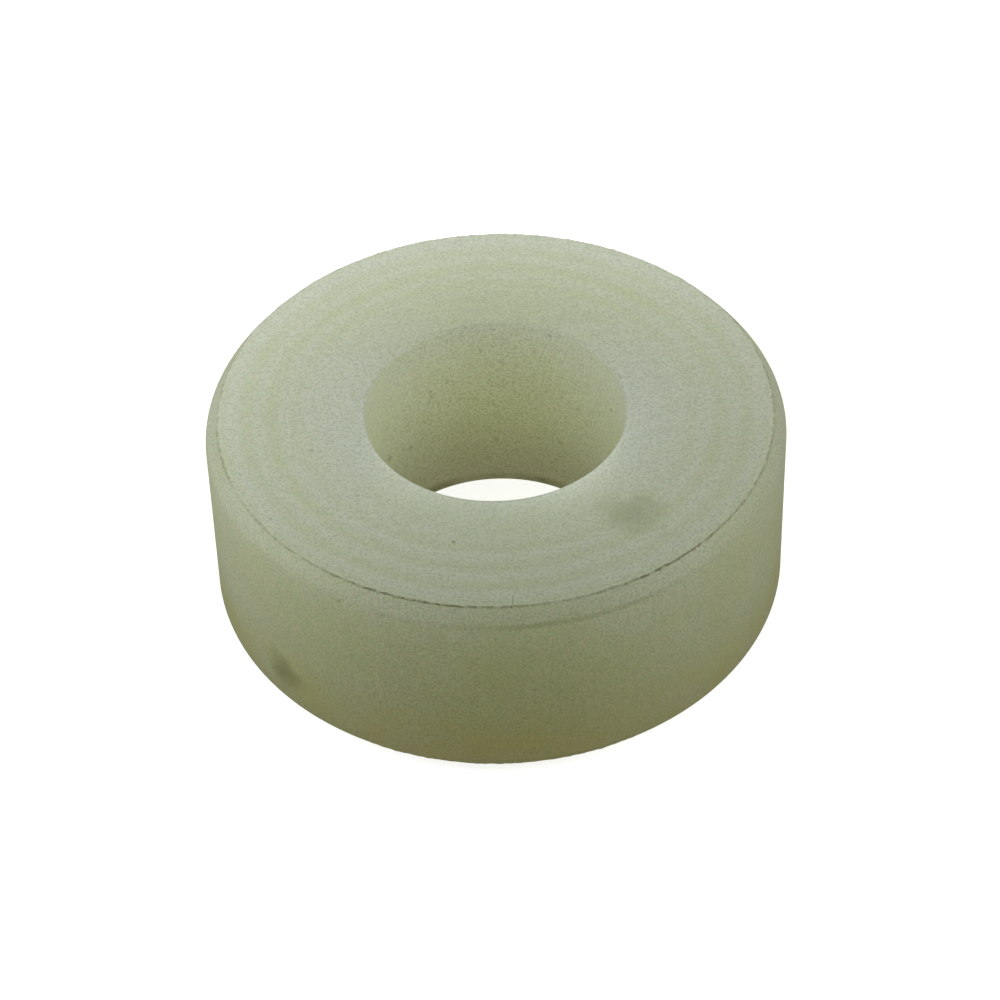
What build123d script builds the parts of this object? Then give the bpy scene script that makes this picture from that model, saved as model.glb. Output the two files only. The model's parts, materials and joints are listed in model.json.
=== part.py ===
from build123d import *

import os

# Thick flat washer in one piece of natural nylon. Millimetres.
#
# The origin is the centre of the seating face, on the bore's axis, and +Z points along the bore
# towards the other face. Both faces are finished alike, so the washer fits either way up.

# Driving dimensions
OUTER_DIAMETER = 20.0
BORE_DIAMETER = 9.0  # medium clearance for an M8 bolt
THICKNESS = 7.5

# Edge finish
RIM_CHAMFER_RADIAL = 0.45  # how far each rim chamfer comes in across the flat face
RIM_CHAMFER_AXIAL = 0.55  # how far it runs along the outer wall
BORE_EDGE_RADIUS = 0.1  # the light break of each bore edge

os.makedirs("parts", exist_ok=True)

# Washer: a plain ring, with both rims chamfered and both bore edges lightly rounded
with BuildPart() as washer:
    with BuildSketch():
        Circle(OUTER_DIAMETER / 2)
    extrude(amount=THICKNESS)
    Hole(BORE_DIAMETER / 2)

    for up_or_down in (Axis.Z, -Axis.Z):
        flat_face = washer.faces().sort_by(up_or_down)[-1]
        bore_edge, rim_edge = flat_face.edges().sort_by(SortBy.RADIUS)
        chamfer(rim_edge, RIM_CHAMFER_RADIAL, RIM_CHAMFER_AXIAL, reference=flat_face)
        fillet(bore_edge, BORE_EDGE_RADIUS)

washer.part.label = "washer"
export_step(washer.part, "parts/washer.step")
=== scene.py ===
import json
import math

import bpy
import numpy as np
from mathutils import Matrix, Vector


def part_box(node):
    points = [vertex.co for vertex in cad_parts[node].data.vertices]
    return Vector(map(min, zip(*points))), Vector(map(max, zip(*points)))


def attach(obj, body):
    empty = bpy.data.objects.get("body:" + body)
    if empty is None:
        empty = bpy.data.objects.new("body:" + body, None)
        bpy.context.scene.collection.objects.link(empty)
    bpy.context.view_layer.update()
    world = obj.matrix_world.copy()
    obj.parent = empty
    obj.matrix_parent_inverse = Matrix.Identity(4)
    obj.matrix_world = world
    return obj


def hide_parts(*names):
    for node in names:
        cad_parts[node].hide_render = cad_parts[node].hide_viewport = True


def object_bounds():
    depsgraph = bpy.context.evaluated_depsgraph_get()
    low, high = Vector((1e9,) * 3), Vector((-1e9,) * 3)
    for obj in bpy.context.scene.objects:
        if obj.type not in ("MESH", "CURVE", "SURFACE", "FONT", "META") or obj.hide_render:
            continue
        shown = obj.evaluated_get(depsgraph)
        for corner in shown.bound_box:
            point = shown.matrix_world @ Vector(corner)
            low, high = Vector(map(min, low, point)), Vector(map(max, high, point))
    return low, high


# A thick flat washer turned from natural nylon: pale, slightly green and translucent, with the
# marks that facing and boring leave. Metres. Angles go round the bore from +X towards +Y, and the
# camera looks along +Y, so 270 degrees is the front.

MM = 0.001
NODE = "washer"
NEAR = 0.001 * MM  # points closer than this lie on the same surface

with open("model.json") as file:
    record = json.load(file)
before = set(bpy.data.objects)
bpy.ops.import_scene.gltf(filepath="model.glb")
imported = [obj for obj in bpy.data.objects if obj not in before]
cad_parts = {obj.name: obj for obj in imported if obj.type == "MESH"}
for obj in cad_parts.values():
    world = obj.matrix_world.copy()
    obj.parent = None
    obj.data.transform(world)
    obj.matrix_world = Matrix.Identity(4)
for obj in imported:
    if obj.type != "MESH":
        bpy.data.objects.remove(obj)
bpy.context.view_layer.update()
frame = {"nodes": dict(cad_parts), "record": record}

# ---------------------------------------------------------------- sizes, read from the frame


def cad_profile(node):
    """A flat face's inner and outer radius and the outer wall's top, read from the CAD's mesh."""
    points = np.array([vertex.co for vertex in frame["nodes"][node].data.vertices])
    radii = np.hypot(points[:, 0], points[:, 1])
    face_radii = radii[points[:, 2] > points[:, 2].max() - NEAR]
    wall_heights = points[radii > radii.max() - NEAR, 2]
    return face_radii.min(), face_radii.max(), wall_heights.max()


low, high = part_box(NODE)
mounts = {mount["name"]: mount for mount in frame["record"]["mounts"]}

OUTER_RADIUS = (high.x - low.x) / 2
BORE_RADIUS = mounts["bore"]["dims"]["r_mm"] * MM
FOOT, TOP = low.z, high.z
THICKNESS = TOP - FOOT
FACE_INNER, FACE_OUTER, WALL_TOP = cad_profile(NODE)
WALL_FOOT = FOOT + (TOP - WALL_TOP)
BORE_EDGE = FACE_INNER - BORE_RADIUS

# ---------------------------------------------------------------- the washer's mesh

AROUND = 600  # segments round the bore
RIM_EDGE = 0.03 * MM  # the rounding where a face meets its chamfer
WALL_EDGE = 0.6 * MM  # the softer rounding where a chamfer runs into the wall
EDGE_STEPS = 6

RING_PITCH = 0.9 * MM  # the feed pattern of the facing cut
RING_HEIGHT = 0.0045 * MM
FINE_RINGS = 0.35  # how much of the rings' height is in finer rings, two to each pitch
RING_FADING = 0.35  # how much the rings' height comes and goes round the face
CHATTER_MARKS = 144  # tool chatter round the inner half of each face
CHATTER_HEIGHT = 0.003 * MM
CHATTER_FADING = 0.4
CHATTER_SLANT = math.radians(50)  # how far a mark turns, from the bore to the rim
BURR_HEIGHT = 0.022 * MM
BURR_WIDTH = 0.05 * MM
BURR_LEAST, BURR_MOST = 0.05, 1.2  # the ragged lip's limits, as shares of its height
WALL_PITCH = 0.6 * MM
WALL_HEIGHT = 0.0012 * MM


def corner_arc(before, corner, after, radius):
    """Points on the arc that rounds one corner of the profile, tangent to both of its sides."""
    into = (corner - before) / np.linalg.norm(corner - before)
    out = (after - corner) / np.linalg.norm(after - corner)
    turn = math.acos(into @ out)
    reach = radius * math.tan(turn / 2)
    start = corner - into * reach
    inward = (out - into * (into @ out)) / math.sin(turn)
    steps = np.linspace(0, turn, EDGE_STEPS + 1)[:, None]
    return start + radius * (np.sin(steps) * into + (1 - np.cos(steps)) * inward)


def ring_profile():
    """The ring's closed section as (radius, height) points, from the bore's upper edge outwards."""
    # each corner: its place, its rounding, and the points along the side that follows it
    corners = [
        (BORE_RADIUS, TOP, BORE_EDGE, 60),
        (FACE_OUTER, TOP, RIM_EDGE, 4),
        (OUTER_RADIUS, WALL_TOP, WALL_EDGE, 14),
        (OUTER_RADIUS, WALL_FOOT, WALL_EDGE, 4),
        (FACE_OUTER, FOOT, RIM_EDGE, 26),
        (BORE_RADIUS, FOOT, BORE_EDGE, 12),
    ]
    places = [np.array(corner[:2]) for corner in corners]
    arcs = [
        corner_arc(places[i - 1], places[i], places[(i + 1) % len(places)], corners[i][2])
        for i in range(len(corners))
    ]
    points = []
    for i, arc in enumerate(arcs):
        side_end = arcs[(i + 1) % len(arcs)][0]
        side = np.linspace(arc[-1], side_end, corners[i][3] + 2)[1:-1]
        points += [*arc, *side]
    return np.array(points)


def profile_normals(points):
    """The outward direction at each profile point, square to the line through its neighbours."""
    along = np.roll(points, -1, axis=0) - np.roll(points, 1, axis=0)
    outward = np.stack([-along[:, 1], along[:, 0]], axis=1)
    return outward / np.linalg.norm(outward, axis=1, keepdims=True)


def uneven(angles, waves, rng):
    """A smooth random curve round the ring, about -1 to 1, made of whole numbers of waves."""
    phases = rng.uniform(0, math.tau, len(waves))
    curve = sum(np.sin(wave * angles + phase) for wave, phase in zip(waves, phases))
    return curve / math.sqrt(len(waves))


def soft_step(value, start, end):
    """0 before start, 1 after end, and smooth between them."""
    share = np.clip((value - start) / (end - start), 0, 1)
    return share * share * (3 - 2 * share)


def facing_relief(radius, angle, rng):
    """The facing cut on a flat face: rings in its outer part, slanted chatter nearer the bore."""
    share = (radius - BORE_RADIUS) / (OUTER_RADIUS - BORE_RADIUS)
    strength = 1 - RING_FADING + RING_FADING * uneven(angle, (1, 2, 3), rng)
    coarse = np.sin(math.tau * radius / RING_PITCH + 0.5 * uneven(angle, (1, 2), rng))
    fine = np.sin(math.tau * radius / (RING_PITCH / 2) + 1.1)
    rings = strength * ((1 - FINE_RINGS) * coarse + FINE_RINGS * fine)
    rings = rings * soft_step(share, 0.15, 0.45)

    turned = angle + CHATTER_SLANT * share
    marks = np.sin(CHATTER_MARKS * turned + 1.5 * uneven(turned, (5, 9, 14), rng))
    marks = marks * (1 - CHATTER_FADING + CHATTER_FADING * uneven(turned, (7, 11, 23), rng))
    chatter = marks * soft_step(share, 0.02, 0.08) * (1 - soft_step(share, 0.35, 0.6))
    return RING_HEIGHT * rings + CHATTER_HEIGHT * chatter


def burr_relief(distance, angle, rng):
    """The thin ragged lip that the facing tool pushed up along a rim edge."""
    ragged = 0.5 + 0.5 * uneven(angle, (3, 17, 41, 67, 103, 149, 211), rng)
    ragged = np.clip(ragged, BURR_LEAST, BURR_MOST)
    return BURR_HEIGHT * ragged * np.exp(-((distance / BURR_WIDTH) ** 2))


def surface_relief(points, angles):
    """How far each point of the ring stands out from the plain profile, over profile and angle."""
    rng = np.random.default_rng(8)
    radius, height = points[:, :1], points[:, 1:]
    angle = angles[None, :]
    relief = np.zeros((len(points), len(angles)))
    for face_height in (TOP, FOOT):
        on_face = np.abs(height - face_height) < NEAR
        relief += np.where(on_face, facing_relief(radius, angle, rng), 0)
        from_edge = np.hypot(radius - FACE_OUTER, height - face_height)
        relief += burr_relief(from_edge, angle, rng)
    on_wall = np.abs(radius - OUTER_RADIUS) < NEAR
    turning = np.sin(math.tau * height / WALL_PITCH + uneven(angle, (1, 2), rng))
    relief += np.where(on_wall, WALL_HEIGHT * turning, 0)
    return relief


def ring_mesh(name):
    """The washer as one closed mesh: the profile carried round the bore, with its relief."""
    points = ring_profile()
    normals = profile_normals(points)
    angles = np.linspace(0, math.tau, AROUND, endpoint=False)
    relief = surface_relief(points, angles)
    radius = points[:, :1] + normals[:, :1] * relief
    height = points[:, 1:] + normals[:, 1:] * relief
    vertices = np.stack([radius * np.cos(angles), radius * np.sin(angles), height], axis=-1)

    step = np.arange(len(points))[:, None]
    turn = np.arange(AROUND)[None, :]
    next_step = (step + 1) % len(points)
    next_turn = (turn + 1) % AROUND
    quads = np.stack(
        [
            step * AROUND + turn,
            next_step * AROUND + turn,
            next_step * AROUND + next_turn,
            step * AROUND + next_turn,
        ],
        axis=-1,
    )
    mesh = bpy.data.meshes.new(name)
    mesh.from_pydata(vertices.reshape(-1, 3).tolist(), [], quads.reshape(-1, 4).tolist())
    mesh.polygons.foreach_set("use_smooth", np.ones(len(mesh.polygons), dtype=bool))
    mesh.update()
    return mesh


# ---------------------------------------------------------------- materials


class Nodes:
    """Short names for the node kinds that the materials and the world are built from."""

    def __init__(self, tree):
        self.tree = tree

    def put(self, value, socket):
        """Gives a socket another node's output, or a plain value."""
        if isinstance(value, bpy.types.NodeSocket):
            self.tree.links.new(value, socket)
        else:
            socket.default_value = value

    def coordinates(self, kind):
        return self.tree.nodes.new("ShaderNodeTexCoord").outputs[kind]

    def split(self, vector):
        node = self.tree.nodes.new("ShaderNodeSeparateXYZ")
        self.put(vector, node.inputs[0])
        return node.outputs

    def vector(self, x, y, z):
        node = self.tree.nodes.new("ShaderNodeCombineXYZ")
        for socket, given in zip(node.inputs, (x, y, z)):
            self.put(given, socket)
        return node.outputs[0]

    def math(self, operation, first, second=0.0, clamp=False):
        node = self.tree.nodes.new("ShaderNodeMath")
        node.operation = operation
        node.use_clamp = clamp
        self.put(first, node.inputs[0])
        self.put(second, node.inputs[1])
        return node.outputs[0]

    def chain(self, operation, values):
        """One operation, worked along a row of values."""
        result = values[0]
        for value in values[1:]:
            result = self.math(operation, result, value)
        return result

    def total(self, *values):
        return self.chain("ADD", values)

    def product(self, *values):
        return self.chain("MULTIPLY", values)

    def largest(self, *values):
        return self.chain("MAXIMUM", values)

    def rest_of(self, share):
        """What a share leaves over from 1."""
        return self.math("SUBTRACT", 1.0, share)

    def vector_math(self, operation, first, second):
        node = self.tree.nodes.new("ShaderNodeVectorMath")
        node.operation = operation
        self.put(first, node.inputs[0])
        self.put(second, node.inputs["Scale"] if operation == "SCALE" else node.inputs[1])
        gives_number = operation in ("DISTANCE", "DOT_PRODUCT")
        return node.outputs["Value" if gives_number else "Vector"]

    def line_gap(self, place, start, end):
        """The distance from the straight line between two points."""
        along = Vector(end) - Vector(start)
        offset = self.vector_math("SUBTRACT", place, start)
        reached = self.vector_math("DOT_PRODUCT", offset, along / along.length_squared)
        reached = self.math("MULTIPLY", reached, 1.0, clamp=True)
        nearest = self.vector_math("SCALE", along, reached)
        return self.vector_math("DISTANCE", offset, nearest)

    def smooth(self, value, start, end, first=0.0, last=1.0):
        """first where value is at start, last where it is at end, and smooth between them."""
        node = self.tree.nodes.new("ShaderNodeMapRange")
        node.interpolation_type = "SMOOTHSTEP"
        for socket, given in zip(node.inputs, (value, start, end, first, last)):
            self.put(given, socket)
        return node.outputs[0]

    def noise(self, place, scale, detail=2.0, roughness=0.5):
        node = self.tree.nodes.new("ShaderNodeTexNoise")
        self.put(place, node.inputs["Vector"])
        self.put(scale, node.inputs["Scale"])
        self.put(detail, node.inputs["Detail"])
        self.put(roughness, node.inputs["Roughness"])
        return node.outputs["Fac"]

    def blotches(self, place, kind, first=0.0, last=1.0):
        """Soft random blotches: first outside them and last inside them. See the kinds below."""
        scale, detail, start, full = kind
        return self.smooth(self.noise(place, scale, detail), start, full, first, last)

    def swing(self, place, scale, amount):
        """Smooth noise that goes to both sides of zero."""
        return self.product(self.total(self.noise(place, scale, 3.0), -0.5), amount)

    def mix(self, share, first, second):
        """A colour that goes from first to second with share."""
        node = self.tree.nodes.new("ShaderNodeMix")
        node.data_type = "RGBA"
        self.put(share, node.inputs["Factor"])
        self.put(first, node.inputs[6])
        self.put(second, node.inputs[7])
        return node.outputs[2]

    def layered(self, colour, layers):
        """A colour with others laid over it in turn: each layer's share, then its colour."""
        for share, over in layers:
            colour = self.mix(share, colour, over)
        return colour

    def bump(self, height, distance, strength, normal=None):
        node = self.tree.nodes.new("ShaderNodeBump")
        self.put(height, node.inputs["Height"])
        self.put(distance, node.inputs["Distance"])
        self.put(strength, node.inputs["Strength"])
        if normal is not None:
            self.put(normal, node.inputs["Normal"])
        return node.outputs["Normal"]


def new_material(name):
    """An empty material, its nodes and its shader."""
    material = bpy.data.materials.new(name)
    material.use_nodes = True
    return material, Nodes(material.node_tree), material.node_tree.nodes["Principled BSDF"]


NYLON_PALE = (0.805, 0.870, 0.640, 1)
# also the colour of the painted shade on the faces at the front and the back
NYLON_DEEP_AND_SHADE = (0.705, 0.785, 0.515, 1)
NYLON_WARM = (0.845, 0.795, 0.575, 1)
# the white of a fresh cut, also the colour of the painted light beside the bore
CUT_WHITE_AND_SIDE_LIGHT = (0.915, 0.945, 0.800, 1)
# painted shade, with the warm olive tint of the bench's light
BENCH_TINTED_SHADE = (0.700, 0.650, 0.140, 1)
PIT_SHADE = (0.470, 0.520, 0.330, 1)
SMUDGE = (0.230, 0.250, 0.150, 1)
# the colour of dirt, also used for the painted shade at the foot and on the bore's edges
DIRT_AND_SHADE = (0.140, 0.125, 0.040, 1)
SURFACE_SHARE = 0.06  # how much light the frosted, machined surface scatters itself


def on_face(angle, share):
    """A point on the upper face, at that angle and that share of the outer radius."""
    turn = math.radians(angle)
    radius = share * OUTER_RADIUS
    return (radius * math.cos(turn), radius * math.sin(turn), TOP)


def on_wall(angle, share, radius):
    """A point on the outer wall or the bore, at that angle and that share of the thickness."""
    turn = math.radians(angle)
    return (radius * math.cos(turn), radius * math.sin(turn), FOOT + share * THICKNESS)


# Marks that this washer has: each one's place, its radius and how dark it is
SMUDGES = [
    (on_face(309.5, 0.700), 1.45 * MM, 0.46),
    (on_wall(222, 0.235, OUTER_RADIUS), 1.10 * MM, 0.66),
]
SPECKS = [
    (on_wall(25.5, 0.745, BORE_RADIUS), 0.10 * MM, 0.90),
    (on_wall(148, 0.42, BORE_RADIUS), 0.17 * MM, 0.45),
    (on_wall(133, 0.38, BORE_RADIUS), 0.14 * MM, 0.38),
    (on_wall(121, 0.66, BORE_RADIUS), 0.13 * MM, 0.28),
    (on_wall(49, 0.58, BORE_RADIUS), 0.13 * MM, 0.22),
    (on_wall(35, 0.65, BORE_RADIUS), 0.16 * MM, 0.20),
    (on_wall(44, 0.52, BORE_RADIUS), 0.12 * MM, 0.24),
    (on_wall(238, 0.92, OUTER_RADIUS), 0.12 * MM, 0.35),
    (on_face(257, 0.664), 0.08 * MM, 0.75),
    (on_face(196, 0.652), 0.11 * MM, 0.22),
    (on_face(221, 0.623), 0.10 * MM, 0.25),
    (on_face(214, 0.913), 0.11 * MM, 0.28),
    (on_face(303, 0.960), 0.09 * MM, 0.85),
    (on_face(298, 0.958), 0.06 * MM, 0.70),
    (on_face(272, 0.957), 0.07 * MM, 0.80),
]
# Fine lines: both ends, half the width and how dark it is
LINES = [
    (on_face(272.2, 0.957), on_face(272.6, 0.907), 0.030 * MM, 0.32),
    (on_face(272.6, 0.907), on_face(273.7, 0.872), 0.030 * MM, 0.22),
    (on_face(235.9, 0.635), on_face(239.7, 0.647), 0.035 * MM, 0.20),
    (on_face(51.4, 0.459), on_face(43.4, 0.463), 0.035 * MM, 0.20),
    (on_face(21.0, 0.461), on_face(18.0, 0.461), 0.045 * MM, 0.28),
]
# Where the dirt, the darkening and the painted shade along the edges are thickest, on the upper and
# the lower edges alike: the angle, half the spread and how dark it is
RIM_DIRT = [
    (251, 26, 0.42),
    (308, 20, 0.40),
]
CHAMFER_DARKENING = [
    (282, 40, 0.20),
]
# painted shade on the bore's edges, most at the front
BORE_EDGE_SHADE = [
    (270, 55, 0.60),
]
# How far that dirt, darkening and shade reach from the edge: where it starts, and where it is full
CHAMFER_DARKENING_REACH = (0.16 * MM, 0.04 * MM)
BORE_EDGE_SHADE_REACH = (0.14 * MM, 0.05 * MM)
RIM_DIRT_REACH = (0.045 * MM, 0.085 * MM)  # the least and the most that it starts at
RIM_DIRT_FULL = 0.25  # where it is full, as a share of where it starts
DARKEST_EDGE = 0.9  # no dirt or shade along an edge hides more of the nylon than this

# Kinds of blotches: noise waves in a metre, detail, and the noise where they start and are full
CLOUD = (0.22 / MM, 4.0, 0.35, 0.65)
MOTTLE = (2.2 / MM, 4.0, 0.30, 0.70)
WARM_TINT = (3.6 / MM, 3.0, 0.42, 0.68)
STREAKS = (1.0, 3.0, 0.45, 0.75)  # in a space of its own, where one wave is one chatter mark
# patches of the painted shade low on the washer
LOW_SHADE_PATCHES = (0.5 / MM, 4.0, 0.30, 0.70)
RIM_BEADS = (4.5 / MM, 3.0, 0.40, 0.56)
RIM_WEAR = (0.45 / MM, 2.0, 0.30, 0.60)
RIM_WIDTHS = (5.0 / MM, 3.0, 0.35, 0.65)
CHAMFER_PATCHES = (0.5 / MM, 2.0, 0.50, 0.65)

GRAIN_SCALE = 13.0 / MM
GRAIN_DETAIL = 3.0
GRAIN_ROUGHNESS = 0.75
PIT_START, PIT_FULL = 0.42, 0.64  # the grain's noise where a pit begins, and where it is full
PIT_OPACITY = 0.38  # how much more light a full pit scatters at the surface
DUST_SCALE = 3.2 / MM
DUST_START, DUST_START_IN_BORE = 0.77, 0.68  # the noise where dust begins
DUST_BLEND = 0.09
DUST_DEPTH = 0.22
WOBBLE_SCALE = 1.3 / MM
WOBBLE = 1.1
SMUDGE_WOBBLE, SPECK_WOBBLE = 1.0, 0.5  # how uneven the outlines are, in radii
BORE_SHARE = 0.04  # what is special to the bore fades out by this share of the way outwards

# How strongly each layer shows
MOTTLE_SHARE = 0.40
TINT_SHARE = 0.50
# painted shade: the faces deeper at the front and the back, away from the side lights
FRONT_BACK_SHADE = 0.70
RING_WHITE = 0.38
# painted light beside the bore at the left and the right, and the whiter cut in the bore
SIDE_LIGHT_BESIDE_BORE, WHITE_IN_BORE = 0.75, 0.35
STREAK_WHITE = 0.35
PIT_DEPTH = 0.65
# painted shade: warm olive, low on the outer wall
LOW_SHADE_DEPTH = 0.60
# painted shade on the lowest edges
FOOT_SHADE_DEPTH = 0.85

ROUGHNESS, MOTTLE_ROUGHNESS, STREAK_ROUGHNESS = 0.40, 0.12, 0.08
MARK_HEIGHT = 0.006 * MM  # bump, on top of the mesh's own relief
GRAIN_HEIGHT = 0.020 * MM
BUMP_STRENGTH = 0.8
NYLON_IOR = 1.53
LIGHT_REACH = 32 * MM  # how far light travels inside the nylon
LIGHT_REACH_COLOURS = (1.0, 1.0, 0.6)  # the share of that in red, green and blue


class Place:
    """Where the shaded point lies on the washer, as values that the nodes work out."""

    def __init__(self, nodes):
        self.point = nodes.coordinates("Object")
        x, y, self.z = nodes.split(self.point)
        self.radius = nodes.math("SQRT", nodes.total(nodes.product(x, x), nodes.product(y, y)))
        self.angle = nodes.math("ARCTAN2", y, x)
        # 0 at the bore and 1 at the outer wall
        from_bore = nodes.total(self.radius, -BORE_RADIUS)
        self.share = nodes.product(from_bore, 1 / (OUTER_RADIUS - BORE_RADIUS))
        # 0 on both flat faces and negative between them
        from_middle = nodes.math("ABSOLUTE", nodes.total(self.z, -(FOOT + TOP) / 2))
        self.below_face = nodes.total(from_middle, -THICKNESS / 2)
        # 1 on a flat face and 0 elsewhere
        self.facing = nodes.smooth(self.below_face, -0.06 * MM, -0.03 * MM)
        # 1 at the left and the right, and 0 at the front and the back; the painted light and shade
        # on the faces follow it
        self.sideways = nodes.math("POWER", nodes.math("DIVIDE", x, self.radius), 2.0)


def spots(nodes, place, marks, wobble, unevenness):
    """How dark each of some round marks is at each place, with its outline made uneven."""
    shares = []
    for middle, radius, depth in marks:
        from_middle = nodes.vector_math("DISTANCE", place, middle)
        gap = nodes.total(from_middle, nodes.product(wobble, radius * unevenness))
        shares.append(nodes.smooth(gap, radius * 1.1, radius * 0.1, 0.0, depth))
    return shares


def fine_lines(nodes, place):
    """How dark each fine line is at each place."""
    shares = []
    for start, end, width, depth in LINES:
        gap = nodes.line_gap(place, start, end)
        shares.append(nodes.smooth(gap, width * 1.2, width * 0.4, 0.0, depth))
    return shares


def thickest(nodes, angle, places):
    """A share that peaks at the given angles, which all have to lie between 180 and 360."""
    share = 0.0
    for middle, spread, depth in places:
        gap = nodes.math("ABSOLUTE", nodes.total(angle, -math.radians(middle - 360)))
        share = nodes.total(share, nodes.smooth(gap, math.radians(spread), 0.0, 0.0, depth))
    return share


def rim_dirt(nodes, at, section):
    """Beads of dirt in the burr of both rims, worn away in places."""
    beads = nodes.blotches(at.point, RIM_BEADS, 0.40, 1.0)
    unworn = nodes.blotches(at.point, RIM_WEAR, 0.28, 0.52)
    depth = nodes.product(nodes.total(unworn, thickest(nodes, at.angle, RIM_DIRT)), beads)
    width = nodes.blotches(at.point, RIM_WIDTHS, *RIM_DIRT_REACH)
    ragged = nodes.swing(at.point, 3.0 / MM, 0.10 * MM)
    middle = nodes.vector(nodes.total(ragged, FACE_OUTER), 0.0, 0.0)
    gap = nodes.vector_math("DISTANCE", section, middle)
    return nodes.product(nodes.smooth(gap, width, nodes.product(width, RIM_DIRT_FULL)), depth)


def chamfer_darkening(nodes, at, section):
    """A little darkening, in patches, where each chamfer meets the outer wall."""
    patches = nodes.blotches(at.point, CHAMFER_PATCHES, 0.0, 0.07)
    depth = nodes.total(patches, thickest(nodes, at.angle, CHAMFER_DARKENING))
    gap = nodes.vector_math("DISTANCE", section, (OUTER_RADIUS, WALL_TOP - TOP, 0))
    return nodes.product(nodes.smooth(gap, *CHAMFER_DARKENING_REACH), depth)


def bore_edge_shade(nodes, at, section):
    """Painted shade on the bore's edges, round the middle of their rounding, where they turn into
    the hole.
    """
    middle = (BORE_RADIUS + 0.3 * BORE_EDGE, -0.3 * BORE_EDGE, 0)
    gap = nodes.vector_math("DISTANCE", section, middle)
    depth = thickest(nodes, at.angle, BORE_EDGE_SHADE)
    return nodes.product(nodes.smooth(gap, *BORE_EDGE_SHADE_REACH), depth)


def edge_dirt_and_shade(nodes, at):
    """All the dirt, darkening and painted shade along the edges. Its gaps are measured in the plane
    of radius and height.
    """
    section = nodes.vector(at.radius, at.below_face, 0.0)
    kinds = [kind(nodes, at, section) for kind in (rim_dirt, chamfer_darkening, bore_edge_shade)]
    return nodes.math("MINIMUM", nodes.largest(*kinds), DARKEST_EDGE)


def dust(nodes, at):
    """Fine dark dust, with more of it left in the bore."""
    start = nodes.smooth(at.share, BORE_SHARE, 0.0, DUST_START, DUST_START_IN_BORE)
    full = nodes.total(start, DUST_BLEND)
    return nodes.blotches(at.point, (DUST_SCALE, 1.0, start, full), 0.0, DUST_DEPTH)


def painted_low_shade(nodes, at):
    """Painted shade low down: a patchy warm olive shade low on the outer wall, and darker lowest
    edges where the washer stands.
    """
    patchy = nodes.blotches(at.point, LOW_SHADE_PATCHES, 0.35, 1.0)
    # painted shade: warm olive, growing towards the foot of the outer wall
    low = nodes.smooth(at.z, FOOT + 0.50 * THICKNESS, FOOT + 0.05 * THICKNESS)
    low_shade = nodes.product(patchy, low, nodes.smooth(at.share, 0.2, 0.6))
    # painted shade: the lowest edges darker, where the washer stands
    lowest = nodes.smooth(at.z, WALL_FOOT, FOOT + 0.20 * MM, 0.0, FOOT_SHADE_DEPTH)
    foot_shade = nodes.product(lowest, patchy, nodes.rest_of(at.facing))
    return low_shade, foot_shade


def chatter_streaks(nodes, at):
    """Chatter near the bore: noise drawn out along lines which turn as they go outwards."""
    turned = nodes.total(at.angle, nodes.product(at.share, CHATTER_SLANT))
    marks_per_radian = CHATTER_MARKS / math.tau
    streak_place = nodes.vector(
        nodes.product(nodes.math("COSINE", turned), marks_per_radian),
        nodes.product(nodes.math("SINE", turned), marks_per_radian),
        nodes.product(at.radius, 0.5 / MM),
    )
    streaks = nodes.blotches(streak_place, STREAKS)
    return nodes.product(streaks, nodes.smooth(at.share, 0.65, 0.15), at.facing)


def facing_rings(nodes, at):
    """Rings in the outer part of a flat face: waves of the radius, nudged by soft noise."""
    drift = nodes.product(nodes.noise(at.point, 0.15 / MM), 2.5)
    wave = nodes.total(nodes.product(at.radius, math.tau / RING_PITCH), drift)
    rings = nodes.smooth(nodes.math("SINE", wave), -1.0, 1.0)
    return nodes.product(rings, nodes.smooth(at.share, 0.20, 0.50), at.facing)


def frosting_and_side_light(nodes, at):
    """How white the cut is in the bore, and painted light on the face beside the bore at the left
    and the right.
    """
    # painted light: whiter beside the bore at the left and the right, where the side lights fall
    beside = nodes.smooth(at.share, 0.60, 0.10, 0.0, SIDE_LIGHT_BESIDE_BORE)
    inside = nodes.smooth(at.share, BORE_SHARE, 0.0, 0.0, WHITE_IN_BORE)
    return nodes.total(nodes.product(beside, at.sideways, at.facing), inside)


def nylon_normal(nodes, at, streaks, grain):
    """The finest tool marks and the grain, as bump."""
    fine_wave = nodes.math("SINE", nodes.product(at.radius, 4 * math.tau / RING_PITCH))
    fine_rings = nodes.product(fine_wave, at.facing, 0.15)
    marks = nodes.total(nodes.product(streaks, 0.8), fine_rings)
    normal = nodes.bump(marks, MARK_HEIGHT, BUMP_STRENGTH)
    return nodes.bump(grain, GRAIN_HEIGHT, BUMP_STRENGTH, normal)


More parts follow.
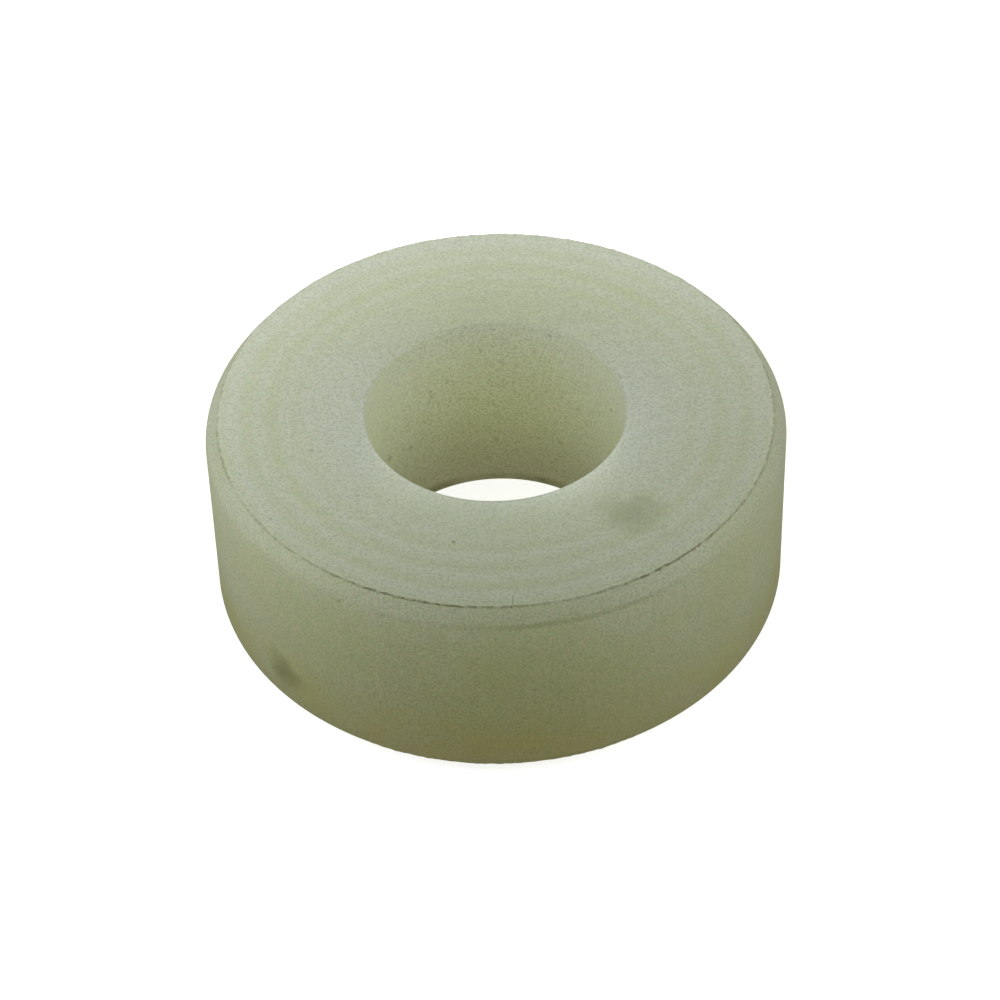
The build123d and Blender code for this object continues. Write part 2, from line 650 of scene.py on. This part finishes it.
def nylon():
    """Natural nylon, machined: cloudy, translucent and satin, with tool marks and shop dirt, and
    with painted light and shade.
    """
    material, nodes, shader = new_material("machined_nylon")
    at = Place(nodes)
    mottle = nodes.blotches(at.point, MOTTLE)
    streaks = chatter_streaks(nodes, at)
    grain = nodes.noise(at.point, GRAIN_SCALE, GRAIN_DETAIL, GRAIN_ROUGHNESS)
    pits = nodes.smooth(grain, PIT_START, PIT_FULL)

    wobble = nodes.swing(at.point, WOBBLE_SCALE, WOBBLE)
    smudges = nodes.largest(0.0, *spots(nodes, at.point, SMUDGES, wobble, SMUDGE_WOBBLE))
    specks = spots(nodes, at.point, SPECKS, wobble, SPECK_WOBBLE)
    specks = nodes.largest(0.0, *specks, *fine_lines(nodes, at.point))
    low_shade, foot_shade = painted_low_shade(nodes, at)
    # specks and dust, with the painted shade at the foot and on the bore's edges
    dirt_and_shade = nodes.largest(specks, dust(nodes, at), foot_shade, edge_dirt_and_shade(nodes, at))

    layers = [
        (nodes.product(mottle, MOTTLE_SHARE), NYLON_DEEP_AND_SHADE),
        (nodes.product(nodes.blotches(at.point, WARM_TINT), TINT_SHARE), NYLON_WARM),
        # painted shade: the faces deeper at the front and the back, away from the side lights
        (nodes.product(nodes.rest_of(at.sideways), at.facing, FRONT_BACK_SHADE), NYLON_DEEP_AND_SHADE),
        (nodes.product(facing_rings(nodes, at), RING_WHITE), CUT_WHITE_AND_SIDE_LIGHT),
        # the whiter cut in the bore, and painted light beside the bore at the left and the right
        (frosting_and_side_light(nodes, at), CUT_WHITE_AND_SIDE_LIGHT),
        (nodes.product(streaks, STREAK_WHITE), CUT_WHITE_AND_SIDE_LIGHT),
        (nodes.product(pits, PIT_DEPTH), PIT_SHADE),
        # painted shade: warm olive, low on the outer wall
        (nodes.product(low_shade, LOW_SHADE_DEPTH), BENCH_TINTED_SHADE),
        (smudges, SMUDGE),
        # dirt, with the painted shade at the foot and on the bore's edges
        (dirt_and_shade, DIRT_AND_SHADE),
    ]
    body = nodes.mix(nodes.blotches(at.point, CLOUD), NYLON_PALE, NYLON_DEEP_AND_SHADE)
    unevenness = (nodes.product(mottle, MOTTLE_ROUGHNESS), nodes.product(streaks, STREAK_ROUGHNESS))
    # dirt, and the painted shade with it, lies on the surface, so light doesn't go through it, and
    # each pit scatters more of it
    opaque = nodes.total(nodes.product(pits, PIT_OPACITY), SURFACE_SHARE)
    clear = nodes.rest_of(nodes.largest(dirt_and_shade, smudges, opaque))

    nodes.put(nodes.layered(body, layers), shader.inputs["Base Color"])
    nodes.put(nodes.total(*unevenness, ROUGHNESS), shader.inputs["Roughness"])
    nodes.put(nylon_normal(nodes, at, streaks, grain), shader.inputs["Normal"])
    nodes.put(clear, shader.inputs["Subsurface Weight"])
    shader.inputs["IOR"].default_value = NYLON_IOR
    shader.inputs["Subsurface Radius"].default_value = LIGHT_REACH_COLOURS
    shader.inputs["Subsurface Scale"].default_value = LIGHT_REACH
    return material


PAPER_DULL = (0.93, 0.93, 0.92, 1)
PAPER_PALE = (0.96, 0.96, 0.95, 1)
PAPER_FIBRES = 1.5 / MM
PAPER_GLOW = 0.84


def paper():
    """The pale paper that the washer stands on, glowing enough to look nearly white."""
    material, nodes, shader = new_material("paper")
    fibres = nodes.noise(nodes.coordinates("Object"), PAPER_FIBRES, 4.0)
    nodes.put(nodes.mix(fibres, PAPER_DULL, PAPER_PALE), shader.inputs["Base Color"])
    shader.inputs["Roughness"].default_value = 0.9
    shader.inputs["Emission Color"].default_value = (1, 1, 1, 1)
    shader.inputs["Emission Strength"].default_value = PAPER_GLOW
    return material


# ---------------------------------------------------------------- the object


def make_washer():
    """Stands for the CAD ring, with its tool marks."""
    piece = bpy.data.objects.new("nylon_washer", ring_mesh("nylon_washer"))
    bpy.context.scene.collection.objects.link(piece)
    piece.data.materials.append(nylon())
    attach(piece, "root")
    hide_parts(NODE)


# ---------------------------------------------------------------- camera, light and floor

VIEW_ELEVATION = math.radians(43.39)
VIEW_ROLL = math.radians(-1.66)
VIEW_DISTANCE = 12.08 * OUTER_RADIUS
VIEW_RIGHT = 0.0084 * OUTER_RADIUS
VIEW_UP = -0.0377 * OUTER_RADIUS
LENS = 124  # in mm, on Blender's usual 36 mm sensor

CENTRE = Vector((0, 0, (FOOT + TOP) / 2))

ROOM_LIGHT = (0.004, 0.004, 0.003, 1)
BENCH_LIGHT = (0.192, 0.183, 0.104, 1)
HORIZON = 0.1  # the two blend into each other from this far below level to this far above it
BOX_COLOUR = (0.94, 1.00, 0.91)
# each soft box: name, azimuth and elevation in degrees, distance and size in outer radii, watts
LIGHTS = [
    ("right_box", 354, 34, 22, 14, 0.179),
    ("left_box", 183, 34, 6, 5, 0.0183),
    ("back_box", 90, 20, 6, 5, 0.0155),
]


def make_camera():
    """The photo's viewpoint: in front and above, turned a little and looking near the middle."""
    back = Vector((0, -math.cos(VIEW_ELEVATION), math.sin(VIEW_ELEVATION)))
    level_up = Vector((0, math.sin(VIEW_ELEVATION), math.cos(VIEW_ELEVATION)))
    level_right = Vector((1, 0, 0))
    right = math.cos(VIEW_ROLL) * level_right + math.sin(VIEW_ROLL) * level_up
    up = math.cos(VIEW_ROLL) * level_up - math.sin(VIEW_ROLL) * level_right
    place = CENTRE + back * VIEW_DISTANCE + right * VIEW_RIGHT + up * VIEW_UP

    camera = bpy.data.objects.new("camera", bpy.data.cameras.new("camera"))
    bpy.context.scene.collection.objects.link(camera)
    turn = Matrix((right, up, back)).transposed().to_4x4()
    camera.matrix_world = Matrix.Translation(place) @ turn
    camera.data.lens = LENS
    camera.data.clip_start = VIEW_DISTANCE / 100
    camera.data.clip_end = VIEW_DISTANCE * 100
    bpy.context.scene.camera = camera


def soft_light(name, azimuth, elevation, distance, size, power):
    """A square soft box that faces the washer, from that angle round it and above the floor."""
    turn, rise = math.radians(azimuth), math.radians(elevation)
    level = math.cos(rise)
    away = Vector((math.cos(turn) * level, math.sin(turn) * level, math.sin(rise)))
    light = bpy.data.objects.new(name, bpy.data.lights.new(name, "AREA"))
    bpy.context.scene.collection.objects.link(light)
    light.location = CENTRE + away * distance * OUTER_RADIUS
    light.rotation_mode = "QUATERNION"
    light.rotation_quaternion = away.to_track_quat("Z", "Y")
    light.data.size = size * OUTER_RADIUS
    light.data.energy = power
    light.data.color = BOX_COLOUR
    light.visible_camera = False


def make_lights():
    """A large soft box far to the right, a small one close on the left and one close behind."""
    for light in LIGHTS:
        soft_light(*light)


def make_world():
    """The room's own light: almost none from above, and a warm glow from the bench below."""
    world = bpy.data.worlds.new("world")
    world.use_nodes = True
    nodes = Nodes(world.node_tree)
    background = world.node_tree.nodes["Background"]
    upwards = nodes.split(nodes.coordinates("Generated"))["Z"]
    above = nodes.smooth(upwards, -HORIZON, HORIZON)
    nodes.put(nodes.mix(above, BENCH_LIGHT, ROOM_LIGHT), background.inputs["Color"])
    bpy.context.scene.world = world


def make_floor():
    """Plain pale paper under the washer. The light from below is the world's, so it adds none."""
    half = 200 * OUTER_RADIUS
    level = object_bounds()[0].z - NEAR  # just clear of the washer's lowest point
    across = [(-half, -half), (half, -half), (half, half), (-half, half)]
    corners = [(x, y, level) for x, y in across]
    mesh = bpy.data.meshes.new("floor")
    mesh.from_pydata(corners, [], [(0, 1, 2, 3)])
    floor = bpy.data.objects.new("floor", mesh)
    bpy.context.scene.collection.objects.link(floor)
    floor.data.materials.append(paper())
    floor.visible_diffuse = False
    floor.visible_glossy = False
    floor.visible_transmission = False
    floor.visible_shadow = False


make_washer()
make_camera()
make_lights()
make_world()
make_floor()
bpy.context.scene.view_settings.view_transform = "Standard"
